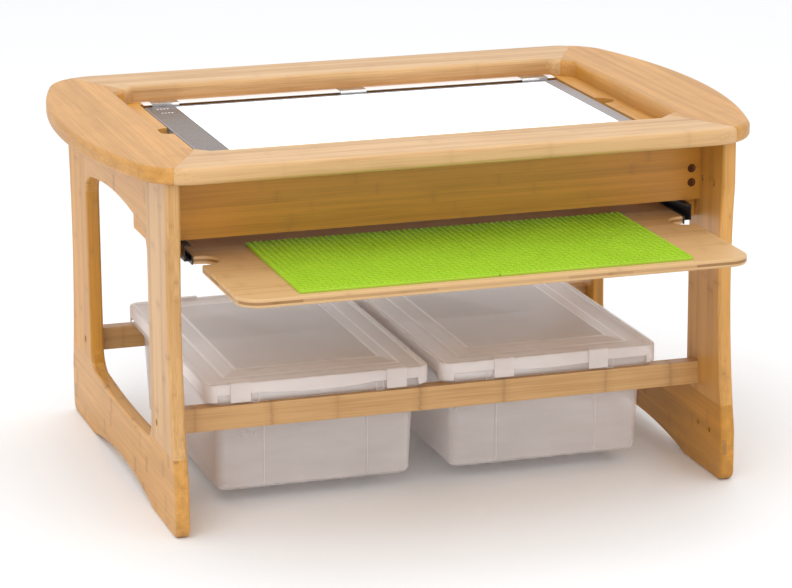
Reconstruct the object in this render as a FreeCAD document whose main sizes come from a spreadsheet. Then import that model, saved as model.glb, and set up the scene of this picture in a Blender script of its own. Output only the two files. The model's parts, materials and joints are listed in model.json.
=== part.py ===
import FreeCAD, Part
import os
import Sketcher

# Low light table for children: a bamboo frame with a sunk light panel, a sliding
# shelf that carries two stud plates, and two lidded bins hung between two rails.
# Millimetres.  +X is to the right, +Y to the back, +Z up.  The pieces are drawn about
# the middle of the table top; the origin of the model is on the floor, under the
# middle of the whole outline with the shelf pulled out.

os.makedirs("parts", exist_ok=True)
doc = FreeCAD.newDocument("light_table")

CELLS = (
    # table top
    ("table_height", 480, "floor to the upper face of the top"),
    ("top_length", 900, "over the bowed ends"),
    ("top_depth", 630, "front edge to back edge"),
    ("top_thick", 22, "boards of the top"),
    ("end_bow", 58, "how far each end bows out"),
    ("corner_radius", 75, "outer corners of the top"),
    ("top_round", 7, "rounded edges of the top"),
    ("end_width", 116, "end boards of the top, at the middle"),
    ("long_width", 100, "front and back boards of the top"),
    ("opening_corner", 32, "cut corners of the opening"),
    ("mitre_turn", 60, "how far a mitre runs along X on its way out"),
    # side frames
    ("board_thick", 19, "boards of the side frames and aprons"),
    ("end_overhang", 69.5, "top past the outer face of a side frame"),
    ("edge_overhang", 24, "top past the head of a side frame"),
    ("foot_splay", 13, "foot past the head of a side frame"),
    ("foot_straight", 70, "straight front edge above the floor"),
    ("head_straight", 58, "straight front edge below the top"),
    ("waist", 14, "how far the front edge curves in"),
    ("foot_pad", 129, "length of the flat under each foot"),
    ("foot_arch", 18, "rise of the arch under a side frame"),
    ("foot_radius", 14, "lower outer corners of a side frame"),
    ("leg_width", 113, "from the head edge to the window"),
    ("window_low", 97, "lower corners of the window"),
    ("window_dip", 8, "how far the lower edge sags"),
    ("window_drop", 91, "from the underside of the top to the window"),
    ("window_arch", 16, "rise of the upper edge of the window"),
    ("window_radius", 30, "corners of the window"),
    ("foot_seam", 103, "joint between foot board and legs"),
    ("gusset_lap", 6, "gusset past the edge of the window"),
    ("gusset_drop", 113, "from the underside of the top to the gusset's ends"),
    ("frame_round", 4, "rounded edges of the side frames"),
    # aprons and lower rails
    ("apron_tall", 92, "height of an apron"),
    ("rail_step", 42, "edge of the window to a rail's outer face"),
    ("rail_thick", 20, "thickness of a lower rail"),
    ("rail_tall", 31, "height of a lower rail"),
    ("rail_low", 113, "floor to the underside of a rail"),
    # fixings
    ("nut_radius", 5.8, "cross nuts in the aprons"),
    ("nut_deep", 12, "depth of a cross nut"),
    ("nut_inset", 12, "cross nut from the end of an apron"),
    ("nut_low", 23, "lower cross nut above the apron's edge"),
    ("nut_pitch", 19, "between two cross nuts"),
    ("bolt_head", 4.6, "radius of a bolt head"),
    ("bolt_sink", 3, "depth of a bolt head in the leg"),
    ("bolt_shank", 3, "radius of a bolt"),
    ("bolt_grip", 28, "bolt past the inner face of the leg"),
    ("socket_radius", 2.4, "hexagon socket of a fixing"),
    ("socket_deep", 1.6, "depth of a socket"),
    ("insert_radius", 3.6, "spare fixing holes inside the side frames"),
    ("insert_deep", 11, "depth of a spare hole"),
    ("insert_step", 38, "between two spare holes"),
    ("insert_out", 8, "upper spare hole in front of the apron"),
    ("insert_low", 60, "floor to the lower spare holes"),
    ("insert_drop", 62, "underside of the top to the upper spare holes"),
    # light panel
    ("panel_shift", 5, "light panel to the right of the middle"),
    ("ledge_show", 34, "opening's end to the light panel, mean of both ends"),
    ("panel_seat", 15, "apron's inner face to the light panel"),
    ("panel_thick", 16, "light panel"),
    ("panel_sink", 2, "face of the panel below the ledge"),
    ("panel_gap", 3, "between the panel and the ledge"),
    ("face_thick", 2, "bezel, diffuser and control strip"),
    ("bezel_width", 8, "bezel in front of the diffuser and behind it"),
    ("bezel_end", 20, "bezel at the right end of the diffuser"),
    ("strip_width", 40, "control strip at the left end"),
    ("strip_edge", 2, "bezel outside the control strip"),
    ("strip_seam", 1, "bezel between strip and diffuser"),
    ("case_wall", 2.5, "walls and floor of the panel's case"),
    ("guide_thick", 6, "light guide inside the panel"),
    ("led_width", 6, "light strip along the guide"),
    ("icon_radius", 1.5, "touch spots on the control strip"),
    ("icon_pitch", 4.6, "between two touch spots of a row"),
    ("icon_step", 27, "between the two rows of touch spots"),
    ("icon_inset", 14, "first touch spot from the strip's rear end"),
    ("icon_high", 0.3, "height of a touch spot"),
    ("ledge_thick", 12, "ledge boards beside the panel"),
    ("notch_radius", 20, "finger notch in a ledge"),
    ("notch_back", 16, "finger notches behind the middle of the panel"),
    ("cleat_tall", 14, "cleats under the panel"),
    ("cleat_deep", 24, "cleats under the panel, out from the apron"),
    ("retainer_thick", 1.4, "white retainer behind the panel"),
    ("retainer_deep", 20, "retainer, front to back"),
    ("clip_length", 38, "clip on the retainer"),
    ("clip_thick", 1.2, "sheet of a clip"),
    ("clip_lip", 5, "how far a clip's lip hangs down"),
    ("clip_inset", 12, "outer clips from the retainer's ends"),
    # shelf, its slides and the stud plates
    ("shelf_out", 148, "shelf in front of the top when pulled out"),
    ("shelf_depth", 330, "shelf, front to back"),
    ("shelf_side_gap", 29, "shelf to the inner face of a side frame"),
    ("shelf_thick", 11, "shelf board"),
    ("shelf_drop", 18, "apron's lower edge to the shelf's upper face"),
    ("shelf_radius", 30, "front corners of the shelf"),
    ("shelf_notch", 22.5, "radius of the side notches"),
    ("shelf_notch_deep", 28, "depth of the side notches"),
    ("shelf_notch_from", 188, "front edge to the front of a notch"),
    ("stud_pitch", 8, "pitch of the studs"),
    ("stud_rows", 32, "studs along each edge of a plate"),
    ("plate_thick", 3.2, "stud plate without its studs"),
    ("plate_setback", 12, "shelf's front edge to the plates"),
    ("slide_length", 176, "fixed channel of a slide"),
    ("slide_setback", 15, "apron's outer face to the channel"),
    ("slide_tall", 26, "height of a channel"),
    ("slide_wall", 1.5, "sheet of a slide"),
    ("slide_deep", 11, "depth of a channel"),
    ("slide_play", 1, "clearance of the runner in the channel"),
    ("runner_thick", 2, "web of the runner on the shelf"),
    ("runner_overhang", 83, "runner behind the shelf"),
    # bins
    ("bin_gap_left", 43.5, "left side frame to the left lid"),
    ("bin_gap_middle", 16, "between the two lids"),
    ("bin_gap_right", 57.5, "right lid to the right side frame"),
    ("bin_play", 6, "foot of a tub to the inner face of a rail"),
    ("bin_low", 21, "floor to the underside of a tub"),
    ("bin_wall", 2.2, "walls of a tub"),
    ("bin_draft", 2.5, "degrees that the walls of a tub lean out"),
    ("bin_radius", 12, "upright corners of a tub"),
    ("bin_foot_radius", 6, "lower edges of a tub"),
    ("rim_out", 16, "tub's rim past the foot of its side walls"),
    ("rim_lap", 14, "tub's rim past a rail's inner face"),
    ("rim_lift", 0.3, "rim above the rails"),
    ("rim_tall", 13.5, "height of a tub's rim"),
    ("lid_gap", 2.5, "between the rim and the lid's skirt"),
    ("lid_wall", 2, "wall of a lid"),
    ("lid_skirt", 18, "height of a lid's skirt"),
    ("lid_lap", 3, "how far the skirt hangs over the rim"),
    ("lid_radius", 16, "corners of a lid"),
    ("pad_inset", 50, "raised panel in from the lid's edge"),
    ("pad_rise", 3, "raised panel above the lid"),
    ("tab_width", 30, "snap tabs of a lid"),
    ("tab_thick", 3, "snap tabs of a lid"),
    ("tab_tall", 28, "snap tabs of a lid"),
    ("tab_lap", 8, "snap tab in over the lid"),
    ("tab_wide_pair", 105, "middle of a lid to its front tabs"),
    ("tab_near_pair", 66, "middle of a lid to its back tabs"),
    # clearance between pieces that move on each other
    ("play", 0.3, "between faces that slide or rest on each other"),
)

sheet = doc.addObject("Spreadsheet::Sheet", "Sizes")
for row, (alias, number, meaning) in enumerate(CELLS, start=1):
    sheet.set(f"A{row}", alias)
    sheet.set(f"B{row}", str(number))
    sheet.set(f"C{row}", meaning)
    sheet.setAlias(f"B{row}", alias)
doc.recompute()


class Size:
    """A length that keeps its number and the spreadsheet formula behind it."""

    def __init__(self, number, formula=None):
        self.number = number
        self.formula = formula if formula is not None else repr(number)

    def join(self, other, sign, number):
        return Size(number, f"({self.formula} {sign} {other.formula})")

    def __add__(self, other):
        other = as_size(other)
        return self.join(other, "+", self.number + other.number)

    def __sub__(self, other):
        other = as_size(other)
        return self.join(other, "-", self.number - other.number)

    def __mul__(self, other):
        other = as_size(other)
        return self.join(other, "*", self.number * other.number)

    def __truediv__(self, other):
        other = as_size(other)
        return self.join(other, "/", self.number / other.number)

    def __neg__(self):
        return Size(-self.number, f"(0 - {self.formula})")

    def __radd__(self, other):
        return as_size(other) + self

    def __rsub__(self, other):
        return as_size(other) - self

    def __rmul__(self, other):
        return as_size(other) * self


def as_size(value):
    return value if isinstance(value, Size) else Size(value)


class Sizes:
    """The cells of the spreadsheet, each as a Size."""

    def __init__(self):
        for alias, _number, _meaning in CELLS:
            setattr(self, alias, Size(float(sheet.get(alias)), f"Sizes.{alias}"))


S = Sizes()
parts = {}

# Heights and faces that several pieces share.
TOP_UNDER = S.table_height - S.top_thick
OPENING_X = S.top_length / 2 - S.end_width
OPENING_Y = S.top_depth / 2 - S.long_width
FRAME_OUT = S.top_length / 2 - S.end_overhang
FRAME_IN = FRAME_OUT - S.board_thick
HEAD_HALF = S.top_depth / 2 - S.edge_overhang
FOOT_HALF = HEAD_HALF + S.foot_splay
APRON_FACE = OPENING_Y
APRON_LOW = TOP_UNDER - S.apron_tall
APRON_IN = APRON_FACE - S.board_thick
RAIL_TOP = S.rail_low + S.rail_tall
WINDOW_HALF = HEAD_HALF - S.leg_width
RAIL_FACE = WINDOW_HALF + S.rail_step
RAIL_IN = RAIL_FACE - S.rail_thick
RAIL_MID_Y = RAIL_FACE - S.rail_thick / 2
RAIL_MID_Z = S.rail_low + S.rail_tall / 2
PANEL_TOP = TOP_UNDER - S.panel_sink
PANEL_UNDER = PANEL_TOP - S.panel_thick
PANEL_X = OPENING_X - S.ledge_show
PANEL_LEFT = S.panel_shift - PANEL_X
PANEL_RIGHT = S.panel_shift + PANEL_X
PANEL_Y = APRON_IN - S.panel_seat
SHELF_FRONT = S.top_depth / 2 + S.shelf_out
SHELF_TOP = APRON_LOW - S.shelf_drop
OUTLINE_SHIFT = S.shelf_out / 2
SHELF_UNDER = SHELF_TOP - S.shelf_thick
SHELF_X = FRAME_IN - S.shelf_side_gap
SHELF_BACK = S.shelf_depth - SHELF_FRONT
SHELF_NOTCH_BACK = S.shelf_notch_from - SHELF_FRONT + 2 * S.shelf_notch
SLIDE_FRONT = S.slide_setback - APRON_FACE
SLIDE_TOP = APRON_LOW - 2 * S.play
SLIDE_LOW = SLIDE_TOP - S.slide_tall
SLIDE_MOUTH = SHELF_X + S.runner_thick + S.slide_play
RIM_LOW = RAIL_TOP + S.rim_lift
RIM_TOP = RIM_LOW + S.rim_tall
LID_LOW = RIM_TOP - S.lid_lap
LID_TOP = LID_LOW + S.lid_skirt
LID_X = (2 * FRAME_IN - S.bin_gap_left - S.bin_gap_middle - S.bin_gap_right) / 4
RIM_X = LID_X - S.lid_wall - S.lid_gap
RIM_Y = RAIL_IN + S.rim_lap
LID_Y = RIM_Y + S.lid_gap + S.lid_wall
TUB_X = RIM_X - S.rim_out
TUB_Y = RAIL_IN - S.bin_play
BIN_LEFT = S.bin_gap_left + LID_X - FRAME_IN
BIN_RIGHT = FRAME_IN - S.bin_gap_right - LID_X


# ---------------------------------------------------------------- building blocks

def bind(thing, prop, size):
    """Tie one property of an object to the spreadsheet."""
    thing.setExpression(prop, as_size(size).formula)


def place(thing, x, y, z):
    """Put an object at a point given from the middle of the table top."""
    bind(thing, "Placement.Base.x", x)
    bind(thing, "Placement.Base.y", as_size(y) + OUTLINE_SHIFT)
    bind(thing, "Placement.Base.z", z)


def block(name, x, y, z):
    """Box between two limits along each axis."""
    box = doc.addObject("Part::Box", name)
    bind(box, "Length", as_size(x[1]) - x[0])
    bind(box, "Width", as_size(y[1]) - y[0])
    bind(box, "Height", as_size(z[1]) - z[0])
    place(box, x[0], y[0], z[0])
    return box


TURNS = {
    "+x": FreeCAD.Rotation(FreeCAD.Vector(0, 1, 0), 90),
    "-x": FreeCAD.Rotation(FreeCAD.Vector(0, 1, 0), -90),
    "+y": FreeCAD.Rotation(FreeCAD.Vector(1, 0, 0), -90),
    "-y": FreeCAD.Rotation(FreeCAD.Vector(1, 0, 0), 90),
    "+z": FreeCAD.Rotation(),
}


def rod(name, way, start, radius, length):
    """Cylinder from a start point, along one axis."""
    cylinder = doc.addObject("Part::Cylinder", name)
    bind(cylinder, "Radius", radius)
    bind(cylinder, "Height", length)
    cylinder.Placement = FreeCAD.Placement(FreeCAD.Vector(), TURNS[way])
    place(cylinder, *start)
    return cylinder


def hexagon(name, way, start, radius, length):
    """Hexagonal bar from a start point, along one axis."""
    bar = doc.addObject("Part::Prism", name)
    bar.Polygon = 6
    bind(bar, "Circumradius", radius)
    bind(bar, "Height", length)
    bar.Placement = FreeCAD.Placement(FreeCAD.Vector(), TURNS[way])
    place(bar, *start)
    return bar


def gather(name, kind, pieces):
    """Fuse pieces, or keep them side by side in one compound."""
    if len(pieces) == 1:
        return pieces[0]
    group = doc.addObject(kind, name)
    if kind == "Part::Compound":
        group.Links = pieces
    else:
        group.Shapes = pieces
    return group


def fuse(name, pieces):
    return gather(name, "Part::MultiFuse", pieces)


def cut(name, base, tools):
    result = doc.addObject("Part::Cut", name)
    result.Base = base
    result.Tool = fuse(name + "_tools", tools)
    return result


def common(name, base, tool):
    result = doc.addObject("Part::Common", name)
    result.Base = base
    result.Tool = tool
    return result


def keep(name, thing):
    """Give a finished sub-part its label and list it for export."""
    thing.Label = name
    parts[name] = thing


def origin_plane(body, role):
    return next(f for f in body.Origin.OriginFeatures if f.Role == role)


def outline(body, role, offset, corners):
    """Closed sketch on one of a body's own planes.

    Each corner is (u, v) or (u, v, rise): the edge to the next corner is straight,
    or an arc that rises to the left of its chord by that much.  Every corner and
    every arc is tied to the spreadsheet.
    """
    sketch = body.newObject("Sketcher::SketchObject", body.Name + "_outline")
    sketch.AttachmentSupport = (origin_plane(body, role), [""])
    sketch.MapMode = "FlatFace"
    bind(sketch, "AttachmentOffset.Base.z", offset)
    spots = [(as_size(c[0]), as_size(c[1])) for c in corners]
    rises = [as_size(c[2]) if len(c) > 2 else None for c in corners]
    ends = []
    for i, rise in enumerate(rises):
        start, stop = spots[i], spots[(i + 1) % len(spots)]
        ends.append(add_edge(sketch, start, stop, rise))
    for i, (_first, last) in enumerate(ends):
        following = ends[(i + 1) % len(ends)][0]
        sketch.addConstraint(Sketcher.Constraint("Coincident", *last, *following))
    for (first, _last), spot in zip(ends, spots):
        pin_corner(sketch, first, spot)
    return sketch


def add_edge(sketch, start, stop, rise):
    """Add a line or an arc; return its two ends as (geometry, point) pairs."""
    a = FreeCAD.Vector(start[0].number, start[1].number, 0)
    b = FreeCAD.Vector(stop[0].number, stop[1].number, 0)
    if rise is None:
        edge = sketch.addGeometry(Part.LineSegment(a, b), False)
        return (edge, 1), (edge, 2)
    along = b - a
    left = FreeCAD.Vector(-along.y, along.x, 0).normalize()
    top = (a + b) * 0.5 + left * rise.number
    edge = sketch.addGeometry(Part.Arc(a, top, b), False)
    du = stop[0] - start[0]
    dv = stop[1] - start[1]
    chord_term = (du * du + dv * dv) / 4 + rise * rise
    radius = chord_term / (2 * rise)
    if rise.number < 0:
        radius = -radius
    mark = sketch.addConstraint(Sketcher.Constraint("Radius", edge, radius.number))
    sketch.setExpression(f"Constraints[{mark}]", radius.formula)
    if sketch.getPoint(edge, 1).distanceToPoint(a) < sketch.getPoint(edge, 2).distanceToPoint(a):
        return (edge, 1), (edge, 2)
    return (edge, 2), (edge, 1)


def pin_corner(sketch, end, spot):
    """Hold a corner at its two coordinates."""
    for kind, coordinate, axis in (("DistanceX", spot[0], -2), ("DistanceY", spot[1], -1)):
        if abs(coordinate.number) < 1e-9:
            sketch.addConstraint(Sketcher.Constraint("PointOnObject", *end, axis))
            continue
        mark = sketch.addConstraint(
            Sketcher.Constraint(kind, -1, 1, *end, coordinate.number))
        sketch.setExpression(f"Constraints[{mark}]", coordinate.formula)


def board(name, role, offset, thickness, corners):
    """Body padded from one outline."""
    body = doc.addObject("PartDesign::Body", name)
    bind(body, "Placement.Base.y", OUTLINE_SHIFT)
    sketch = outline(body, role, offset, corners)
    pad = body.newObject("PartDesign::Pad", name + "_pad")
    pad.Profile = sketch
    bind(pad, "Length", thickness)
    body.Tip = pad
    doc.recompute()
    return body


def pierce(body, role, offset, corners):
    """Pocket an outline right through a body."""
    before = body.Shape.Volume
    sketch = outline(body, role, offset, corners)
    pocket = body.newObject("PartDesign::Pocket", body.Name + "_pocket")
    pocket.Profile = sketch
    pocket.Type = "ThroughAll"
    pocket.Midplane = True
    body.Tip = pocket
    doc.recompute()
    if body.Shape.Volume > before - 1:
        raise RuntimeError(f"{body.Name}: the pocket removed nothing")


def soften(body, radius, chosen):
    """Round the chosen edges of a body."""
    base = body.Tip
    names = [f"Edge{i}" for i, edge in enumerate(base.Shape.Edges, start=1) if chosen(edge)]
    fillet = body.newObject("PartDesign::Fillet", body.Name + "_round")
    fillet.Base = (base, names)
    bind(fillet, "Radius", radius)
    body.Tip = fillet
    doc.recompute()


def upright(edge):
    """True for an edge that runs along Z."""
    return edge.BoundBox.ZLength > 1 and max(edge.BoundBox.XLength, edge.BoundBox.YLength) < 1e-6


def crosswise(edge):
    """True for an edge that runs along X."""
    return edge.BoundBox.XLength > 1 and max(edge.BoundBox.YLength, edge.BoundBox.ZLength) < 1e-6


def lies_at(edge, height):
    """True for an edge that lies flat at one height."""
    return edge.BoundBox.ZLength < 1e-6 and abs(edge.BoundBox.ZMin - height.number) < 1e-6


def rectangle(half_x, half_y, middle_x=0, middle_y=0):
    x, y = as_size(middle_x), as_size(middle_y)
    return [(x - half_x, y - half_y), (x + half_x, y - half_y),
            (x + half_x, y + half_y), (x - half_x, y + half_y)]


def rounded_block(name, middle_x, half_x, half_y, z, radius, draft=0):
    """Block with rounded corners, its middle on the X axis; its walls may lean out."""
    body = board(name, "XY_Plane", z[0], as_size(z[1]) - z[0], rectangle(half_x, half_y, middle_x))
    bind(body.Tip, "TaperAngle", draft)
    doc.recompute()
    soften(body, radius, lambda e: e.BoundBox.ZLength > 1)
    return body


# ---------------------------------------------------------------- table top

def make_top():
    """Ring of four mitred boards with bowed ends around the opening."""
    x = S.top_length / 2 - S.end_bow
    y = S.top_depth / 2
    blank = board("top_blank", "XY_Plane", TOP_UNDER, S.top_thick,
                  [(-x, -y), (x, -y, -S.end_bow), (x, y), (-x, y, -S.end_bow)])
    soften(blank, S.corner_radius, upright)
    ox, oy = OPENING_X, OPENING_Y
    c = S.opening_corner
    pierce(blank, "XY_Plane", TOP_UNDER, [
        (c - ox, -oy), (ox - c, -oy), (ox, c - oy), (ox, oy - c),
        (ox - c, oy), (c - ox, oy), (-ox, oy - c), (-ox, c - oy)])
    soften(blank, S.top_round, lambda e: lies_at(e, S.table_height) or (
        lies_at(e, TOP_UNDER) and is_outer(e, ox.number, oy.number)))
    mx, my = ox - c / 2, oy - c / 2
    reach = S.top_depth
    run = S.mitre_turn * reach / (y - my)
    for name, side in (("top_rail_front", -1), ("top_rail_back", 1)):
        wedge = board(name + "_wedge", "XY_Plane", TOP_UNDER, S.top_thick,
                      turn_if(side < 0, [
                          (-mx, side * my), (mx, side * my),
                          (mx + run, side * (my + reach)), (-mx - run, side * (my + reach))]))
        keep(name, common(name, blank, wedge))
    for name, side in (("top_end_left", -1), ("top_end_right", 1)):
        wedge = board(name + "_wedge", "XY_Plane", TOP_UNDER, S.top_thick,
                      turn_if(side > 0, [
                          (side * mx, my), (side * mx, -my),
                          (side * (mx + run), -my - reach), (side * (mx + reach + run), -my - reach),
                          (side * (mx + reach + run), my + reach), (side * (mx + run), my + reach)]))
        keep(name, common(name, blank, wedge))


def is_outer(edge, half_x, half_y):
    """True for an edge that reaches outside the opening."""
    box = edge.BoundBox
    return max(abs(box.XMin), abs(box.XMax)) > half_x + 1 or max(abs(box.YMin), abs(box.YMax)) > half_y + 1


def turn_if(flag, corners):
    """Reverse a list of plain corners so that every outline runs the same way."""
    return corners[::-1] if flag else corners


# ---------------------------------------------------------------- side frames

def frame_blank(name, inner):
    """One side frame before it is divided into its boards."""
    foot, head = FOOT_HALF, HEAD_HALF
    pad = foot - S.foot_pad
    low, high = S.foot_straight, TOP_UNDER - S.head_straight
    blank = board(name, "YZ_Plane", inner, S.board_thick, [
        (-foot, 0), (-pad, 0, S.foot_arch), (pad, 0), (foot, 0),
        (foot, low, S.waist), (head, high), (head, TOP_UNDER), (-head, TOP_UNDER),
        (-head, high, S.waist), (-foot, low)])
    w = WINDOW_HALF
    top = TOP_UNDER - S.window_drop
    pierce(blank, "YZ_Plane", inner, [
        (-w, S.window_low, -S.window_dip), (w, S.window_low),
        (w, top, -S.window_arch), (-w, top)])
    soften(blank, S.window_radius, lambda e: crosswise(e) and abs(abs(e.BoundBox.YMin) - w.number) < 1e-6)
    soften(blank, S.foot_radius, lambda e: crosswise(e) and abs(e.BoundBox.ZMin) < 1e-6
           and abs(abs(e.BoundBox.YMin) - foot.number) < 1e-6)
    soften(blank, S.frame_round, lambda e: e.BoundBox.XLength < 1e-6
           and e.BoundBox.ZMin < TOP_UNDER.number - 1)
    return blank


def make_side_frame(side, sign):
    """Foot board, two legs and a gusset, glued edge to edge."""
    inner = FRAME_IN if sign > 0 else -FRAME_OUT
    blank = frame_blank(f"frame_{side}_blank", inner)
    x = (inner, inner + S.board_thick)
    reach = FOOT_HALF + S.board_thick
    gusset_y = WINDOW_HALF + S.gusset_lap
    gusset_z = TOP_UNDER - S.gusset_drop
    foot = common(f"foot_{side}_whole", blank,
                  block(f"foot_{side}_zone", x, (-reach, reach), (-S.board_thick, S.foot_seam)))
    gusset_zone = block(f"gusset_{side}_zone", x, (-gusset_y, gusset_y), (gusset_z, TOP_UNDER))
    keep(f"gusset_{side}", common(f"gusset_{side}", blank, gusset_zone))
    for place_name, way in (("front", -1), ("rear", 1)):
        near, far = (-reach, 0) if way < 0 else (0, reach)
        whole = common(f"leg_{place_name}_{side}_whole", blank,
                       block(f"leg_{place_name}_{side}_zone", x, (near, far), (S.foot_seam, TOP_UNDER)))
        holes = [block(f"leg_{place_name}_{side}_gusset", x, (-gusset_y, gusset_y), (gusset_z, TOP_UNDER))]
        holes += fixing_holes(f"leg_{place_name}_{side}", sign, way)
        if way < 0:
            upper = TOP_UNDER - S.insert_drop
            holes += spare_holes(f"leg_{place_name}_{side}", sign, -APRON_FACE - S.insert_out, upper)
        name = f"leg_{place_name}_{side}"
        keep(name, cut(name, whole, holes))
    name = f"foot_board_{side}"
    keep(name, cut(name, foot, spare_holes(name, sign, -APRON_FACE - S.insert_out, S.insert_low)))


def fixing_holes(name, sign, way):
    """Counterbored bolt hole, from the outer face of a leg."""
    inward = "-x" if sign > 0 else "+x"
    start = (sign * FRAME_OUT, way * RAIL_MID_Y, RAIL_MID_Z)
    return [rod(name + "_bore", inward, start, S.bolt_shank, S.board_thick),
            rod(name + "_sink", inward, start, S.bolt_head, S.bolt_sink)]


def spare_holes(name, sign, first_y, z):
    """Two blind holes from the inner face, for another height of shelf."""
    outward = "+x" if sign > 0 else "-x"
    face = sign * FRAME_IN
    return [rod(f"{name}_spare_{i}", outward, (face, first_y - i * S.insert_step, z),
                S.insert_radius, S.insert_deep) for i in range(2)]


def make_side_fixings(side, sign):
    """Bolts that hold the two lower rails to one side frame."""
    inward = "-x" if sign > 0 else "+x"
    solids = []
    for way in (-1, 1):
        tag = f"fixing_{side}_{'rear' if way > 0 else 'front'}"
        start = (sign * FRAME_OUT, way * RAIL_MID_Y, RAIL_MID_Z)
        head = rod(tag + "_head", inward, start, S.bolt_head, S.bolt_sink)
        shank = rod(tag + "_shank", inward, start, S.bolt_shank, S.board_thick + S.bolt_grip)
        socket = hexagon(tag + "_socket", inward, start, S.socket_radius, S.socket_deep)
        solids.append(cut(tag + "_bolt", fuse(tag + "_blank", [head, shank]), [socket]))
    keep(f"rail_bolts_{side}", gather(f"rail_bolts_{side}", "Part::Compound", solids))


# ---------------------------------------------------------------- aprons and rails

def nut_places():
    """Middle of each cross nut as (x, z)."""
    low = APRON_LOW + S.nut_low
    return [(sign * (FRAME_IN - S.nut_inset), low + i * S.nut_pitch)
            for sign in (-1, 1) for i in range(2)]


def make_apron(name, way):
    """Deep board under the top, with pockets for its cross nuts."""
    inward = "-y" if way > 0 else "+y"
    face = way * APRON_FACE
    near, far = sorted((face, way * APRON_IN), key=lambda size: size.number)
    plank = block(name + "_plank", (-FRAME_IN, FRAME_IN), (near, far), (APRON_LOW, TOP_UNDER))
    pockets = [rod(f"{name}_pocket_{i}", inward, (x, face, z), S.nut_radius, S.nut_deep)
               for i, (x, z) in enumerate(nut_places())]
    keep(name, cut(name, plank, pockets))
    nuts = []
    for i, (x, z) in enumerate(nut_places()):
        body = rod(f"{name}_nut_{i}", inward, (x, face, z), S.nut_radius, S.nut_deep)
        socket = hexagon(f"{name}_socket_{i}", inward, (x, face, z), S.socket_radius, S.socket_deep)
        nuts.append(cut(f"{name}_cross_nut_{i}", body, [socket]))
    return nuts


def make_rail(name, way):
    """Thin board that carries the rims of the bins."""
    near, far = sorted((way * RAIL_FACE, way * RAIL_IN), key=lambda size: size.number)
    plank = block(name + "_plank", (-FRAME_IN, FRAME_IN), (near, far), (S.rail_low, RAIL_TOP))
    bores = [rod(f"{name}_bore_{'right' if sign > 0 else 'left'}", "-x" if sign > 0 else "+x",
                 (sign * FRAME_IN, way * RAIL_MID_Y, RAIL_MID_Z), S.bolt_shank, S.bolt_grip)
             for sign in (-1, 1)]
    keep(name, cut(name, plank, bores))


# ---------------------------------------------------------------- light panel and its seat

def make_ledge(name, sign):
    """Board beside the panel, with a finger notch in its inner edge."""
    edge = PANEL_RIGHT + S.panel_gap if sign > 0 else PANEL_LEFT - S.panel_gap
    near, far = sorted((edge, sign * FRAME_IN), key=lambda size: size.number)
    plank = block(name + "_plank", (near, far), (-APRON_IN, APRON_IN),
                  (TOP_UNDER - S.ledge_thick, TOP_UNDER))
    notch = rod(name + "_notch", "+z", (edge, S.notch_back, TOP_UNDER - S.ledge_thick),
                S.notch_radius, S.ledge_thick)
    keep(name, cut(name, plank, [notch]))


def make_cleat(name, way):
    """Strip on the inner face of an apron that the panel rests on."""
    near, far = sorted((way * APRON_IN, way * (APRON_IN - S.cleat_deep)), key=lambda size: size.number)
    top = PANEL_UNDER - S.play
    keep(name, block(name, (PANEL_LEFT, PANEL_RIGHT), (near, far), (top - S.cleat_tall, top)))


def make_retainer():
    """White strip behind the panel, with three sheet clips over it."""
    near = PANEL_Y + S.panel_gap
    far = near + S.retainer_deep
    top = TOP_UNDER + S.retainer_thick
    keep("panel_retainer", block("panel_retainer", (PANEL_LEFT, PANEL_RIGHT), (near, far),
                                 (TOP_UNDER, top)))
    half = S.clip_length / 2
    outer = PANEL_X - S.clip_inset - half
    clips = []
    for i in (-1, 0, 1):
        middle = S.panel_shift + i * outer
        x = (middle - half, middle + half)
        plate = block(f"clip_{i + 1}_plate", x, (near - S.clip_thick, far), (top, top + S.clip_thick))
        lip = block(f"clip_{i + 1}_lip", x, (near - S.clip_thick, near), (top - S.clip_lip, top))
        clips.append(fuse(f"clip_{i + 1}", [plate, lip]))
    keep("retainer_clips", gather("retainer_clips", "Part::Compound", clips))


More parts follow.
